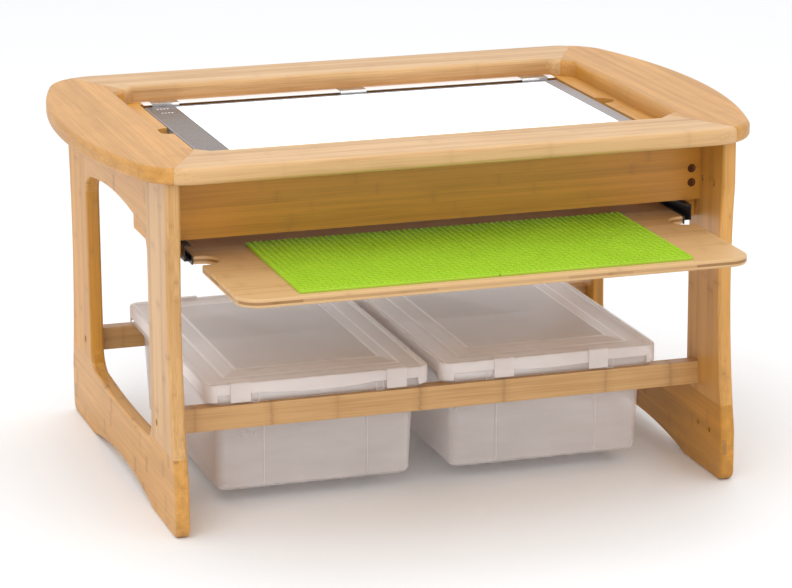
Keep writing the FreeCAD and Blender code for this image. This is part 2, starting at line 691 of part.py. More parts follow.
def make_panel():
    """Case, bezel, diffuser, control strip, light guide and its light strip."""
    face_low = PANEL_TOP - S.face_thick
    wall = S.case_wall
    case = block("panel_case_blank", (PANEL_LEFT, PANEL_RIGHT), (-PANEL_Y, PANEL_Y),
                 (PANEL_UNDER, face_low))
    inside = block("panel_case_inside", (PANEL_LEFT + wall, PANEL_RIGHT - wall),
                   (wall - PANEL_Y, PANEL_Y - wall), (PANEL_UNDER + wall, face_low))
    keep("panel_case", cut("panel_case", case, [inside]))

    strip_x = (PANEL_LEFT + S.strip_edge, PANEL_LEFT + S.strip_edge + S.strip_width)
    strip_y = (S.strip_edge - PANEL_Y, PANEL_Y - S.strip_edge)
    lit_x = (strip_x[1] + S.strip_seam, PANEL_RIGHT - S.bezel_end)
    lit_y = (S.bezel_width - PANEL_Y, PANEL_Y - S.bezel_width)
    face = (face_low, PANEL_TOP)
    blank = block("bezel_blank", (PANEL_LEFT, PANEL_RIGHT), (-PANEL_Y, PANEL_Y), face)
    holes = [block("bezel_strip_hole", strip_x, strip_y, face), block("bezel_lit_hole", lit_x, lit_y, face)]
    keep("panel_bezel", cut("panel_bezel", blank, holes))
    keep("control_strip", block("control_strip", strip_x, strip_y, face))
    keep("light_diffuser", block("light_diffuser", lit_x, lit_y, face))
    keep("light_guide", block("light_guide", (lit_x[0] + S.led_width, lit_x[1]), lit_y,
                              (face_low - S.guide_thick, face_low)))
    keep("led_strip", block("led_strip", (lit_x[0], lit_x[0] + S.led_width), lit_y,
                            (face_low - S.guide_thick, face_low)))
    spots = []
    middle = (strip_x[0] + strip_x[1]) / 2
    for column in range(4):
        for row in range(2):
            x = middle + (column - 1.5) * S.icon_pitch
            y = strip_y[1] - S.icon_inset - row * S.icon_step
            spots.append(rod(f"icon_{column}_{row}", "+z", (x, y, PANEL_TOP), S.icon_radius, S.icon_high))
    keep("touch_spots", gather("touch_spots", "Part::Compound", spots))


# ---------------------------------------------------------------- shelf and slides

def make_shelf():
    """Sliding shelf with rounded front corners and a notch in each side."""
    x, back = SHELF_X, SHELF_BACK
    r = S.shelf_notch
    throat = x - S.shelf_notch_deep + r
    notch_front = SHELF_NOTCH_BACK - 2 * r
    shelf = board("shelf_board", "XY_Plane", SHELF_UNDER, S.shelf_thick, [
        (-x, -SHELF_FRONT), (x, -SHELF_FRONT), (x, notch_front), (throat, notch_front, r * 0.999),
        (throat, SHELF_NOTCH_BACK), (x, SHELF_NOTCH_BACK), (x, back), (-x, back),
        (-x, SHELF_NOTCH_BACK), (-throat, SHELF_NOTCH_BACK, r * 0.999), (-throat, notch_front),
        (-x, notch_front)])
    soften(shelf, S.shelf_radius, lambda e: upright(e) and abs(e.BoundBox.YMin + SHELF_FRONT.number) < 1e-6)
    keep("shelf_board", shelf)


def make_stud_plate(name, sign):
    """Thin plate; two of them meet on the middle line of the shelf."""
    width = S.stud_pitch * S.stud_rows
    front = S.plate_setback - SHELF_FRONT
    x = (-width, 0) if sign < 0 else (0, width)
    keep(name, block(name, x, (front, front + width), (SHELF_TOP, SHELF_TOP + S.plate_thick)))


def make_slide(side, sign):
    """Wooden spacer and steel channel on the frame, steel runner on the shelf."""
    def across(first, second):
        return tuple(sorted((sign * first, sign * second), key=lambda size: size.number))

    y = (SLIDE_FRONT, SLIDE_FRONT + S.slide_length)
    z = (SLIDE_LOW, SLIDE_TOP)
    outer = SLIDE_MOUTH + S.slide_deep
    wall = S.slide_wall
    keep(f"slide_spacer_{side}", block(f"slide_spacer_{side}", across(outer, FRAME_IN), y, z))
    channel = block(f"channel_{side}_blank", across(SLIDE_MOUTH, outer), y, z)
    groove = block(f"channel_{side}_groove", across(SLIDE_MOUTH, outer - wall), y,
                   (SLIDE_LOW + wall, SLIDE_TOP - wall))
    keep(f"slide_channel_{side}", cut(f"slide_channel_{side}", channel, [groove]))
    runner_y = (SHELF_NOTCH_BACK, SHELF_BACK + S.runner_overhang)
    web = block(f"runner_{side}_web", across(SHELF_X, SHELF_X + S.runner_thick), runner_y,
                (SHELF_UNDER, SHELF_TOP))
    play = wall + S.slide_play
    shoe_z = (SLIDE_LOW + play, SLIDE_TOP - play)
    shoe = block(f"runner_{side}_shoe", across(SHELF_X + S.runner_thick, outer - play),
                 runner_y, shoe_z)
    hollow = block(f"runner_{side}_hollow", across(SHELF_X + S.runner_thick, outer - play - wall), runner_y,
                   (shoe_z[0] + wall, shoe_z[1] - wall))
    name = f"slide_runner_{side}"
    keep(name, cut(name, fuse(name + "_blank", [web, shoe]), [hollow]))


# ---------------------------------------------------------------- bins

def make_bin(side, middle, turn):
    """Tub with a flanged rim, its lid and the snap tabs of the lid."""
    wall, rim = S.bin_wall, S.bin_wall
    shell = rounded_block(f"tub_{side}_shell", middle, TUB_X, TUB_Y,
                          (S.bin_low, RIM_LOW + rim), S.bin_radius, S.bin_draft)
    soften(shell, S.bin_foot_radius, lambda e: lies_at(e, S.bin_low))
    flange = rounded_block(f"tub_{side}_flange", middle, RIM_X, RIM_Y,
                           (RIM_LOW, RIM_TOP), S.lid_radius)
    cavity = rounded_block(f"tub_{side}_cavity", middle, TUB_X - wall, TUB_Y - wall,
                           (S.bin_low + wall, RIM_TOP), S.bin_radius - wall, S.bin_draft)
    soften(cavity, S.bin_foot_radius - wall, lambda e: lies_at(e, S.bin_low + wall))
    mouth = rounded_block(f"tub_{side}_mouth", middle, RIM_X - rim, RIM_Y - rim,
                          (RIM_LOW + rim, RIM_TOP), S.lid_radius - rim)
    name = f"tub_{side}"
    keep(name, cut(name, fuse(name + "_blank", [shell, flange]), [cavity, mouth]))

    cap = rounded_block(f"lid_{side}_cap", middle, LID_X, LID_Y, (LID_LOW, LID_TOP), S.lid_radius)
    raised = rounded_block(f"lid_{side}_pad", middle, LID_X - S.pad_inset, LID_Y - S.pad_inset,
                           (LID_TOP, LID_TOP + S.pad_rise), S.lid_radius)
    under = rounded_block(f"lid_{side}_under", middle, LID_X - S.lid_wall, LID_Y - S.lid_wall,
                          (LID_LOW, LID_TOP - S.lid_wall), S.lid_radius - S.lid_wall)
    name = f"lid_{side}"
    keep(name, cut(name, fuse(name + "_blank", [cap, raised]), [under]))

    tabs = [make_tab(f"tab_{side}_{i}", middle + across, way * turn)
            for i, (across, way) in enumerate((
                (-S.tab_wide_pair, -1), (S.tab_wide_pair, -1), (-S.tab_near_pair, 1), (S.tab_near_pair, 1)))]
    keep(f"lid_tabs_{side}", gather(f"lid_tabs_{side}", "Part::Compound", tabs))


def make_tab(name, middle_x, way):
    """Snap tab that laps over the lid and hangs down in front of the skirt."""
    x = (middle_x - S.tab_width / 2, middle_x + S.tab_width / 2)
    top = LID_TOP + S.tab_thick
    face, out = way * LID_Y, way * (LID_Y + S.tab_thick)
    near, far = sorted((face, out), key=lambda size: size.number)
    hang = block(name + "_hang", x, (near, far), (top - S.tab_tall, top))
    near, far = sorted((way * (LID_Y - S.tab_lap), face), key=lambda size: size.number)
    lap = block(name + "_lap", x, (near, far), (LID_TOP, top))
    return fuse(name, [hang, lap])


# ---------------------------------------------------------------- assembly and export

def build():
    make_top()
    for side, sign in (("left", -1), ("right", 1)):
        make_side_frame(side, sign)
        make_side_fixings(side, sign)
        make_ledge(f"panel_ledge_{side}", sign)
        make_stud_plate(f"stud_plate_{side}", sign)
        make_slide(side, sign)
    nuts = make_apron("apron_front", -1) + make_apron("apron_back", 1)
    keep("apron_nuts", gather("apron_nuts", "Part::Compound", nuts))
    make_rail("lower_rail_front", -1)
    make_rail("lower_rail_back", 1)
    make_cleat("panel_cleat_front", -1)
    make_cleat("panel_cleat_back", 1)
    make_retainer()
    make_panel()
    make_shelf()
    make_bin("left", BIN_LEFT, 1)
    make_bin("right", BIN_RIGHT, -1)


def check_and_export():
    doc.recompute()
    failed = [o.Name for o in doc.Objects if {"Invalid", "Error"} & set(o.State)]
    if failed:
        raise RuntimeError(f"objects that failed: {failed}")
    for name, thing in parts.items():
        if thing.Shape.isNull() or not thing.Shape.isValid() or not thing.Shape.Solids:
            raise RuntimeError(f"{name}: no valid solid")
        thing.Shape.exportStep(f"parts/{name}.step")
    print(f"{len(parts)} sub-parts written")


build()
check_and_export()
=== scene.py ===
import json
import math

import bmesh
import bpy
from bpy.props import FloatProperty, FloatVectorProperty, IntProperty, PointerProperty
from mathutils import Matrix, Vector


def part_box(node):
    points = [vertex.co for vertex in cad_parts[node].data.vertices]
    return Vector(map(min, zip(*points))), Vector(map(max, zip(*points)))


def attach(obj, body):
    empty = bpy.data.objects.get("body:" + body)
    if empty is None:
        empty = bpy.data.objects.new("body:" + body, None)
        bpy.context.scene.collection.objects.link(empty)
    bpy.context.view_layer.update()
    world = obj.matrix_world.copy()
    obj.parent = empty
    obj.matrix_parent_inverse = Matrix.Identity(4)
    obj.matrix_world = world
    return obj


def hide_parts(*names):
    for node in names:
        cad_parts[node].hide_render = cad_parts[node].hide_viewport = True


bl_info = {
    "name": "Bamboo Light Table",
    "version": (1, 0, 0),
    "blender": (4, 5, 0),
    "location": "3D View > Sidebar > Light Table",
    "description": "Finishes and fittings of a low bamboo light table for children",
    "category": "Object",
}

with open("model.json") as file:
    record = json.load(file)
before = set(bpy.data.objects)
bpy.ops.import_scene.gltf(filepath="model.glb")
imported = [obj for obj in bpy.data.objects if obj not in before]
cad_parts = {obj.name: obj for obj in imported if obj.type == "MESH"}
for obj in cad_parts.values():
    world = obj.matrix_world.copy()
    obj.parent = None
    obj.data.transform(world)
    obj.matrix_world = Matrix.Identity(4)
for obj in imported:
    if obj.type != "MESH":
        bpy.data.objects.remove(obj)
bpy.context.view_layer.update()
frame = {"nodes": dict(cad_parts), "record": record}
SIDES = ("left", "right")
OUTWARD = (("left", -1), ("right", 1))
LAMINATE = 0.0064   # thickness of one layer of bamboo in the side frames


# ---------------------------------------------------------------- settings

def colour(name, description, default):
    return FloatVectorProperty(name=name, description=description, default=default,
                               subtype="COLOR", size=3, min=0.0, max=1.0)


def length(name, description, default):
    return FloatProperty(name=name, description=description, default=default,
                         min=0.0, unit="LENGTH", subtype="DISTANCE", precision=4)


class BambooSettings(bpy.types.PropertyGroup):
    """Tones and pattern of the pressed bamboo."""

    light: colour("Light strips", "Colour of the palest strips", (0.62, 0.385, 0.175))
    deep: colour("Deep strips", "Colour of the darker strips", (0.40, 0.20, 0.058))
    knot: colour("Knots", "Colour of the knots and fibre ends", (0.27, 0.125, 0.030))
    # Painted shade, in part: boards that stand in the table's shade are given more of this amber lean,
    # besides the boards' own golden tone.
    amber: colour("Amber", "Colour that the more golden boards lean to", (0.58, 0.255, 0.022))
    strip: length("Strip width", "Width of one bamboo strip", 0.0215)
    pitch: length("Knot spacing", "Mean distance between the knots of one strip", 0.19)
    ease: length("Eased edge", "Rounding of the plain boards", 0.0022)


class StudSettings(bpy.types.PropertyGroup):
    """Studs of the two building plates."""

    tint: colour("Tint", "Colour of the moulded plates", (0.36, 0.60, 0.018))
    studs: IntProperty(name="Studs", description="Studs along one edge of a plate", default=32, min=2)
    radius: length("Stud radius", "Radius of one stud", 0.00245)
    height: length("Stud height", "Height of one stud", 0.0017)
    corner: length("Corner", "Corner radius of a plate", 0.003)


class BinSettings(bpy.types.PropertyGroup):
    """Frosted storage tubs and their lids."""

    tint: colour("Tint", "Colour of the frosted plastic", (0.95, 0.875, 0.85))
    tub_cover: FloatProperty(name="Tub cover", description="How milky the tubs are",
                             default=0.26, min=0.0, max=1.0, subtype="FACTOR")
    lid_cover: FloatProperty(name="Lid cover", description="How milky the lids are",
                             default=0.50, min=0.0, max=1.0, subtype="FACTOR")
    wall: length("Wall", "Thickness of the plastic", 0.0022)
    rib: length("Rib", "How far the moulded ribs stand out", 0.0012)


class PanelSettings(bpy.types.PropertyGroup):
    """Light panel sunk in the top."""

    glow: FloatProperty(name="Glow", description="Strength of the lit face", default=1.0, min=0.0)
    tint: colour("Light", "Colour of the light", (0.93, 0.97, 1.0))
    strip: colour("Control strip", "Colour of the control strip", (0.15, 0.118, 0.105))


class StageSettings(bpy.types.PropertyGroup):
    """Floor, lamps and camera."""

    floor: colour("Floor", "Colour of the floor", (0.925, 0.937, 0.952))
    key: FloatProperty(name="Key", description="Power of the main lamp", default=26.0, min=0.0, unit="POWER")
    fill: FloatProperty(name="Fill", description="Power of the front lamp", default=6.0, min=0.0,
                        unit="POWER")
    sky: FloatProperty(name="Sky", description="Strength of the surroundings", default=1.0, min=0.0)
    lens: FloatProperty(name="Lens", description="Focal length", default=149.52, min=1.0, unit="CAMERA")
    eye: FloatVectorProperty(name="Eye", description="Place of the camera", subtype="XYZ", unit="LENGTH",
                             default=(-1.2948, -4.0611, 1.3623))
    yaw: FloatProperty(name="Yaw", description="Turn of the camera to the right of +Y", subtype="ANGLE",
                       default=math.radians(17.48))
    pitch: FloatProperty(name="Pitch", description="Tilt of the camera below the horizon", subtype="ANGLE",
                         default=math.radians(14.86))
    roll: FloatProperty(name="Roll", description="Roll of the camera", subtype="ANGLE",
                        default=math.radians(-0.38))


# ---------------------------------------------------------------- node trees

class Number:
    """A number socket; sums and products on it add Math nodes to its tree."""

    def __init__(self, tree, socket):
        self.tree = tree
        self.socket = socket

    def math(self, operation, *others, clamp=False):
        return self.tree.number("ShaderNodeMath", dict(enumerate((self, *others))),
                                operation=operation, use_clamp=clamp)

    def __add__(self, other):
        return self.math("ADD", other)

    __radd__ = __add__

    def __sub__(self, other):
        return self.math("SUBTRACT", other)

    def __rsub__(self, other):
        return (self * -1.0) + other

    def __mul__(self, other):
        return self.math("MULTIPLY", other)

    __rmul__ = __mul__

    def __truediv__(self, other):
        return self.math("DIVIDE", other)

    def floor(self):
        return self.math("FLOOR")

    def clamped(self):
        return self.math("ADD", 0.0, clamp=True)

    def ridge(self, reach):
        """1 where this distance is nothing, falling to 0 at reach."""
        return (1.0 - self / reach).clamped()


class Tree:
    """Adds nodes to one node tree, each with its settings first and then its inputs."""

    def __init__(self, tree):
        self.tree = tree

    def node(self, kind, inputs=None, **settings):
        made = self.tree.nodes.new(kind)
        for key, value in settings.items():
            setattr(made, key, value)
        for key, value in (inputs or {}).items():
            value = getattr(value, "socket", value)
            if isinstance(value, bpy.types.NodeSocket):
                self.tree.links.new(value, made.inputs[key])
            else:
                made.inputs[key].default_value = value
        return made

    def number(self, kind, inputs=None, output=0, **settings):
        return Number(self, self.node(kind, inputs, **settings).outputs[output])


class Finish(Tree):
    """A material with one Principled shader that reads Object coordinates."""

    def __init__(self, name):
        self.material = bpy.data.materials.new(name)
        self.material.use_nodes = True
        super().__init__(self.material.node_tree)
        self.tree.nodes.clear()
        self.shader = self.node("ShaderNodeBsdfPrincipled")
        self.node("ShaderNodeOutputMaterial", {"Surface": self.shader.outputs[0]})
        self.place = self.node("ShaderNodeTexCoord").outputs["Object"]
        split = self.node("ShaderNodeSeparateXYZ", {0: self.place})
        self.axes = {letter: Number(self, split.outputs[letter]) for letter in "XYZ"}

    def combine(self, x, y, z):
        return self.node("ShaderNodeCombineXYZ", {0: x, 1: y, 2: z}).outputs[0]

    def noise(self, scale, detail=2.0, vector=None, roughness=0.5):
        return self.number("ShaderNodeTexNoise", {
            "Vector": self.place if vector is None else vector,
            "Scale": scale, "Detail": detail, "Roughness": roughness})

    def chance(self, *cell):
        """Two random numbers that stay the same over one cell."""
        dice = self.node("ShaderNodeTexWhiteNoise", {"Vector": self.combine(*cell)})
        parts = self.node("ShaderNodeSeparateColor", {0: dice.outputs["Color"]})
        return Number(self, parts.outputs[0]), Number(self, parts.outputs[1])

    def mix(self, factor, first, second):
        """Blend of two colours."""
        return self.node("ShaderNodeMix", {0: factor, 6: (*first, 1.0) if isinstance(first, tuple) else first,
                                           7: (*second, 1.0) if isinstance(second, tuple) else second},
                         data_type="RGBA").outputs[2]

    def bump(self, height, strength, distance):
        bump = self.node("ShaderNodeBump", {"Strength": strength, "Distance": distance, "Height": height})
        self.tree.links.new(bump.outputs[0], self.shader.inputs["Normal"])

    def surface(self, **inputs):
        """Set or link the shader's sockets; a socket's name has _ for each space."""
        for key, value in inputs.items():
            socket = self.shader.inputs[key.replace("_", " ")]
            value = getattr(value, "socket", value)
            if isinstance(value, bpy.types.NodeSocket):
                self.tree.links.new(value, socket)
            elif isinstance(value, tuple) and len(value) == 3:
                socket.default_value = (*value, 1.0)
            else:
                socket.default_value = value


# ---------------------------------------------------------------- finishes

def bamboo(name, grain, ply=0.5, shift=0.0, depth=0.0, knots=0.5, amber=0.0, strip=None,
           pitch=None, core=False):
    """Pressed bamboo; grain names the axes along, across and through the board."""
    s = bpy.context.scene.bamboo_settings
    strip, pitch = strip or s.strip, pitch or s.pitch
    wood = Finish(name)
    along, across, through = (wood.axes[letter] for letter in grain)
    layer = (through / ply + shift).floor()
    lane = (across / strip + layer * 0.37 + 0.21).floor()
    tone, phase = wood.chance(lane, layer, 3.7)
    run = along / pitch + phase * 7.0
    cell = run.floor()
    place, force = wood.chance(lane, layer, cell)
    wander = wood.noise(1.0, 2.0, wood.combine(along * 30.0, across * 160.0, through * 160.0))
    gap = ((run - cell - 0.25 - place * 0.5) * pitch + (wander - 0.5) * 0.005).math("ABSOLUTE")
    node = gap.ridge(0.0022) * 0.25 + gap.ridge(0.0050) * 0.35 + gap.ridge(0.0125) * 0.40
    knot = node * (force * 0.6 + 0.4) * knots
    fibres = wood.noise(1.0, 3.0, wood.combine(along * 9.0, across * 620.0, through * 620.0), 0.6)
    streaks = wood.noise(1.0, 2.0, wood.combine(along * 2.0, across * 95.0, through * 95.0))
    clouds = wood.noise(1.0, 2.0, wood.combine(along * 14.0, across * 26.0, through * 26.0))
    dashes = wood.noise(1.0, 1.0, wood.combine(along * 60.0, across * 1500.0, through * 1500.0))
    specks = ((dashes - 0.66) * 4.0).clamped() * 0.12
    # Painted shade, in part: depth darkens a whole board, and boards in the table's shade are given a larger
    # depth.
    shade = (tone * 0.44 + (fibres - 0.5) * 1.6 + (streaks - 0.5) * 1.5 + (clouds - 0.5) * 0.5
             + depth).clamped()
    light, deep = (tuple(a + (b * share - a) * amber for a, b in zip(tone_of, s.amber))
                   for tone_of, share in ((s.light, 1.15), (s.deep, 0.80)))
    tint = wood.mix(shade, light, deep)
    marks = (knot + specks).clamped()
    if core:
        middle = (layer * -1.0).math("ABSOLUTE").math("LESS_THAN", 0.5)
        block = wood.chance((along / 0.085).floor(), lane, 9.1)[0]
        marks = (marks + middle * (block * 0.7 + 0.3)).clamped()
    tint = wood.mix(marks, tint, tuple(s.knot))
    scuffs = wood.noise(55.0, 3.0)
    low = (1.0 - wood.axes["Z"] / 0.03).clamped() * (scuffs - 0.35).clamped()
    wood.surface(Base_Color=wood.mix(low * 0.8, tint, (0.16, 0.10, 0.05)),
                 Roughness=0.36 + fibres * 0.14 + low * 0.3 + knot * 0.1,
                 Coat_Weight=0.12, Coat_Roughness=0.30)
    wood.bump(fibres * 0.4 - knot * 0.4, 0.20, 0.0003)
    return wood.material


def plastic(name, tint, rough, wear=0.10, grain=900.0, relief=0.1, **extra):
    """Moulded plastic with a fine grain, faint clouding and handling marks."""
    skin = Finish(name)
    fine = skin.noise(grain, 2.0)
    clouds = skin.noise(14.0, 3.0)
    marks = (skin.noise(70.0, 4.0, roughness=0.7) - 0.56).clamped() * 3.0
    paler = tuple(min(1.0, c * 1.10 + 0.01) for c in tint)
    darker = tuple(c * 0.88 for c in tint)
    skin.surface(Base_Color=skin.mix(clouds, darker, paler),
                 Roughness=(rough + (fine - 0.5) * 0.10 + marks * wear).clamped(), **extra)
    skin.bump(fine, relief, 0.0001)
    return skin.material


def frosted(name, tint, cover, box=None, edges=()):
    """Translucent milky plastic, denser seen edge on; along moulded edges it is denser and carries a painted
    highlight, and its middle panel is coloured darker.

    The edges are distances in from the sides of the box."""
    skin = Finish(name)
    fine = skin.noise(1200.0, 2.0)
    flow = skin.noise(1.0, 3.0, skin.combine(
        *(skin.axes[a] * k for a, k in zip("XYZ", (12.0, 5.0, 40.0)))))
    facing = skin.number("ShaderNodeLayerWeight", {"Blend": 0.35}, output=1)
    paler = tuple(min(1.0, c * 1.06) for c in tint)
    shown = skin.mix(flow, tuple(c * 0.95 for c in tint), paler)
    alpha = cover + facing * 0.40 + (flow - 0.5) * 0.06
    if box:
        low, high = box
        sides = [(skin.axes[a] - low[i]).math("MINIMUM", high[i] - skin.axes[a])
                 for i, a in enumerate("XY")]
        inset = sides[0].math("MINIMUM", sides[1])
        for edge in edges:
            # Painted highlight along each moulded edge: the colour is lifted nearly to white there, and the
            # plastic is also made denser.
            line = (inset - edge).math("ABSOLUTE").ridge(0.0030)
            shown = skin.mix(line * 0.9, shown, (1.0, 0.985, 0.975))
            alpha = alpha + line * 0.30
        middle = ((inset - edges[-1]) * 300.0).clamped()
        shown = skin.mix(middle * 0.5, shown, tuple(c * 0.80 for c in tint))
    skin.surface(Base_Color=shown, Roughness=0.30 + fine * 0.14 + flow * 0.06,
                 Alpha=alpha.clamped(), Specular_IOR_Level=0.5)
    skin.bump(fine, 0.08, 0.0001)
    return skin.material


def metal(name, tint, rough, brush, tone=0.12):
    """Metal with fine scratches that run along one axis."""
    skin = Finish(name)
    stretch = [900.0 if letter != brush else 30.0 for letter in "XYZ"]
    lines = skin.noise(1.0, 3.0, skin.combine(*(skin.axes[a] * k for a, k in zip("XYZ", stretch))))
    patches = skin.noise(60.0, 3.0)
    skin.surface(Base_Color=skin.mix(patches, tuple(c * (1 - tone) for c in tint), tint), Metallic=1.0,
                 Roughness=rough + (lines - 0.5) * 0.18 + patches * 0.08)
    skin.bump(lines, 0.12, 0.0001)
    return skin.material


def glowing(name, tint, glow):
    """Opal sheet lit from below, a little dimmer near its rim."""
    low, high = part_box("light_diffuser")
    skin = Finish(name)
    rims = [(skin.axes[a] - low[i]).math("MINIMUM", high[i] - skin.axes[a]) for i, a in enumerate("XY")]
    rim = rims[0].math("MINIMUM", rims[1])
    dim = rim.ridge(0.03) * 0.10 + (skin.noise(6.0, 1.0) - 0.5) * 0.03
    skin.surface(Base_Color=(0.92, 0.93, 0.94), Roughness=0.22 + skin.noise(500.0) * 0.08,
                 Emission_Color=skin.mix(dim.clamped(), tint, (0.0, 0.0, 0.0)), Emission_Strength=glow)
    return skin.material


# ---------------------------------------------------------------- meshes

def centre(low, high):
    """Middle of a box in plan."""
    return (low.x + high.x) / 2, (low.y + high.y) / 2


def mesh_from(name, bm):
    mesh = bpy.data.meshes.new(name)
    bm.to_mesh(mesh)
    bm.free()
    return mesh


def linked(name, data):
    """New object in the scene that shows this mesh, lamp or camera."""
    obj = bpy.data.objects.new(name, data)
    bpy.context.scene.collection.objects.link(obj)
    return obj


def applied(holder, name, all_layers):
    """Plain mesh that an object's modifiers make; the object goes."""
    graph = bpy.context.evaluated_depsgraph_get()
    made = bpy.data.meshes.new_from_object(holder.evaluated_get(graph), depsgraph=graph,
                                           preserve_all_data_layers=all_layers)
    holder.modifiers.clear()
    bpy.data.objects.remove(holder)
    made.name = name
    return made


def settled(name, mesh, *modifiers):
    """Mesh that the given modifiers make of another mesh."""
    holder = linked(name, mesh)
    for kind, settings in modifiers:
        modifier = holder.modifiers.new(kind, kind)
        for key, value in settings.items():
            setattr(modifier, key, value)
    return applied(holder, name, all_layers=True)


def smooth(mesh, angle=32.0):
    """Smooth shading with sharp edges kept."""
    mesh.shade_smooth()
    mesh.set_sharp_from_angle(angle=math.radians(angle))
    return mesh


def eased(node, ease, segments=3):
    """Merged copy of a CAD node with its sharp edges rounded."""
    bm = bmesh.new()
    bm.from_mesh(frame["nodes"][node].data)
    bmesh.ops.remove_doubles(bm, verts=bm.verts, dist=2e-6)
    bmesh.ops.dissolve_limit(bm, angle_limit=math.radians(0.5), verts=bm.verts, edges=bm.edges)
    mesh = mesh_from(node, bm)
    mesh.shade_smooth()
    bevel = {"width": ease, "segments": segments, "limit_method": "ANGLE",
             "angle_limit": math.radians(38.0), "harden_normals": False, "miter_outer": "MITER_ARC"}
    weighted = {"keep_sharp": True, "weight": 70}
    return settled(node, mesh, ("BEVEL", bevel), ("WEIGHTED_NORMAL", weighted))


def place_piece(name, mesh, body, slot, finish, *nodes):
    """Show a finished mesh in place of its CAD nodes."""
    mesh.materials.clear()
    mesh.materials.append(finish)
    obj = linked(name, mesh)
    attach(obj, body)
    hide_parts(*nodes)
    return obj


def slab(node, ease, radius):
    """Plate over the box of a CAD node, with rounded corners and eased edges."""
    low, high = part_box(node)
    middle, half = centre(low, high), (high - low) / 2
    rows = [(ease, low.z), (0.0, low.z + ease), (0.0, high.z - ease), (ease, high.z)]
    return smooth(loft(node, [ring(middle, (half.x - inset, half.y - inset), radius - inset, z)
                              for inset, z in rows]))


def joined(name, *meshes):
    bm = bmesh.new()
    for mesh in meshes:
        bm.from_mesh(mesh)
    return mesh_from(name, bm)


def ring(middle, half, radius, z, stops=((), ()), corner=5):
    """Rounded rectangle as a list of points, counter-clockwise from above."""
    (cx, cy), (hx, hy) = middle, half
    radius = min(radius, hx, hy)
    across, deep = ([max(radius - h, min(h - radius, stop)) for stop in stops[i]]
                    for i, h in enumerate((hx, hy)))
    points = []
    sides = (
        ([(x, -hy) for x in across], (hx - radius, radius - hy), -90),
        ([(hx, y) for y in deep], (hx - radius, hy - radius), 0),
        ([(x, hy) for x in reversed(across)], (radius - hx, hy - radius), 90),
        ([(-hx, y) for y in reversed(deep)], (radius - hx, radius - hy), 180))
    for straight, (ax, ay), first in sides:
        points += straight
        for i in range(corner + 1):
            turn = math.radians(first + 90.0 * i / corner)
            points.append((ax + radius * math.cos(turn), ay + radius * math.sin(turn)))
    return [Vector((cx + x, cy + y, z)) for x, y in points]


def loft(name, rings):
    """Closed shell through rings of equal length, faces outward from first to last."""
    bm = bmesh.new()
    rows = [[bm.verts.new(point) for point in points] for points in rings]
    for low, high in zip(rows, rows[1:]):
        for i in range(len(low)):
            j = (i + 1) % len(low)
            bm.faces.new((low[i], low[j], high[j], high[i]))
    bm.faces.new(rows[0][::-1])
    bm.faces.new(rows[-1])
    bmesh.ops.remove_doubles(bm, verts=bm.verts, dist=1e-6)
    return mesh_from(name, bm)


def ribbon(name, path, thick, low, high, ease):
    """Strip of one thickness that follows a path in the YZ plane, from low to high along X."""
    left, right = [], []
    for i, point in enumerate(path):
        before, after = path[max(i - 1, 0)], path[min(i + 1, len(path) - 1)]
        way = (Vector(after) - Vector(before)).normalized()
        out = Vector((-way.y, way.x)) * thick / 2
        left.append(Vector(point) + out)
        right.append(Vector(point) - out)
    outline = left + right[::-1]
    bm = bmesh.new()
    ends = [[bm.verts.new((x, p.x, p.y)) for p in outline] for x in (low, high)]
    for i in range(len(outline)):
        j = (i + 1) % len(outline)
        bm.faces.new((ends[0][i], ends[0][j], ends[1][j], ends[1][i]))
    bm.faces.new(ends[0][::-1])
    bm.faces.new(ends[1])
    bmesh.ops.recalc_face_normals(bm, faces=bm.faces)
    mesh = mesh_from(name, bm)
    bevel = {"width": ease, "segments": 2, "limit_method": "ANGLE", "angle_limit": math.radians(50.0)}
    return smooth(settled(name, mesh, ("BEVEL", bevel)))


# ---------------------------------------------------------------- repeats

class Group(Tree):
    """A geometry node group with named inputs."""

    def __init__(self, name, takes_mesh):
        group = bpy.data.node_groups.new(name, "GeometryNodeTree")
        super().__init__(group)
        if takes_mesh:
            group.interface.new_socket("Places", in_out="INPUT", socket_type="NodeSocketGeometry")
        self.names = {}
        self.source = self.node("NodeGroupInput")
        group.interface.new_socket("Geometry", in_out="OUTPUT", socket_type="NodeSocketGeometry")

    def take(self, name, kind):
        """Add one named input and return its socket."""
        item = self.tree.interface.new_socket(name, in_out="INPUT", socket_type="NodeSocket" + kind)
        self.names[name] = item.identifier
        return self.source.outputs[name]

    def close(self, shape, material):
        """Make every copy real and give it its material."""
        real = self.node("GeometryNodeRealizeInstances", {0: shape})
        dressed = self.node("GeometryNodeSetMaterial", {0: real.outputs[0], "Material": material})
        self.node("NodeGroupOutput", {0: dressed.outputs[0]})

    def run(self, name, base, **values):
        """Plain mesh that the group makes of a base mesh with these inputs."""
        holder = linked(name, base)
        modifier = holder.modifiers.new(name, "NODES")
        modifier.node_group = self.tree
        for key, value in values.items():
            modifier[self.names[key.replace("_", " ")]] = value
        return applied(holder, name, all_layers=False)


